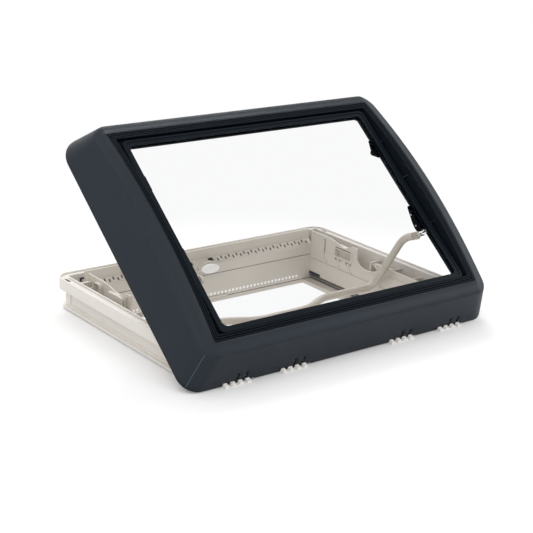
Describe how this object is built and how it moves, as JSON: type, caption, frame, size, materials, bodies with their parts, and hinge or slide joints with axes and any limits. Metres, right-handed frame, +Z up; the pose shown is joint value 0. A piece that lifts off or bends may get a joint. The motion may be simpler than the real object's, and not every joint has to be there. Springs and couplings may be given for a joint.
{
  "type": "caravan roof hatch",
  "caption": "Roof hatch with a clear double-glazed lid held open by a folding bow, over a cream frame with inner panels and blind tracks.",
  "frame": {"origin": "centre of the roof cut-out, on the roof's outer skin, under the outer frame", "axes": "+X along the hinges, +Y from the hinges to the lid's free edge, +Z up, out of the roof"},
  "size_m": [0.821, 0.6015, 0.4837],
  "materials": {
    "cream_plastic": "fine matte",
    "track_plastic": "matte",
    "steel": "satin",
    "blackout_cloth": "pleated",
    "net_cloth": "pleated net",
    "anthracite_plastic": "satin",
    "black_plastic": "satin",
    "black_rubber": "matte",
    "clear_acrylic": "polished clear",
    "bright_steel": "polished",
    "cream_metal": "powder coated"
  },
  "bodies": {
    "base": {"outer_frame": "cream_plastic", "ceiling_frame": "cream_plastic", "side_panel_left": "cream_plastic", "side_panel_right": "cream_plastic", "rear_panel": "cream_plastic", "front_panel": "cream_plastic", "hinge_block_1": "cream_plastic", "hinge_block_2": "cream_plastic", "hinge_block_3": "cream_plastic", "hinge_block_4": "cream_plastic", "guide_rail_left": "track_plastic", "guide_rail_right": "track_plastic", "hinge_pin_1": "steel", "hinge_pin_2": "steel", "hinge_pin_3": "steel", "hinge_pin_4": "steel", "blackout_pack": "blackout_cloth", "flyscreen_pack": "net_cloth"},
    "lid": {"lid_shell": "anthracite_plastic", "lid_frame": "black_plastic", "outer_pane": "clear_acrylic", "inner_pane": "clear_acrylic", "pane_spacer": "black_plastic", "glazing_gasket": "black_rubber", "glazing_bead": "black_plastic", "lid_seal": "black_rubber", "hinge_leaf_1": "anthracite_plastic", "hinge_leaf_2": "anthracite_plastic", "hinge_leaf_3": "anthracite_plastic", "hinge_leaf_4": "anthracite_plastic", "latch_hook_left": "black_plastic", "latch_hook_right": "black_plastic", "bow_bracket_left": "black_plastic", "bow_bracket_right": "black_plastic", "bow_rod_left": "bright_steel", "bow_rod_right": "bright_steel"},
    "bow": {"bow_tube": "cream_metal"},
    "blackout_bar": {"blackout_bar": "cream_plastic"},
    "flyscreen_bar": {"flyscreen_bar": "cream_plastic"},
    "lock_knob": {"lock_knob": "cream_plastic"}
  },
  "joints": [
    {"name": "lid_hinge", "type": "hinge", "parent": "base", "child": "lid", "pos_m": [0, -0.281, 0.048], "axis": [1, 0, 0], "range_deg": [-38.75, 0]},
    {"name": "bow_swing", "type": "hinge", "parent": "lid", "child": "bow", "pos_m": [0, -0.15876, 0.17688], "axis": [1, 0, 0], "range_deg": [0, 74.5]},
    {"name": "blackout_slide", "type": "slide", "parent": "base", "child": "blackout_bar", "axis": [0, -1, 0], "range_m": [0, 0.441]},
    {"name": "flyscreen_slide", "type": "slide", "parent": "base", "child": "flyscreen_bar", "axis": [0, 1, 0], "range_m": [0, 0.441]},
    {"name": "knob_turn", "type": "hinge", "parent": "base", "child": "lock_knob", "pos_m": [0, 0.22, 0.04], "axis": [0, 1, 0], "range_deg": [0, 90]}
  ],
  "couplings": [
    {"joint": "bow_swing", "follows": "lid_hinge", "ratio": -1.92}
  ]
}
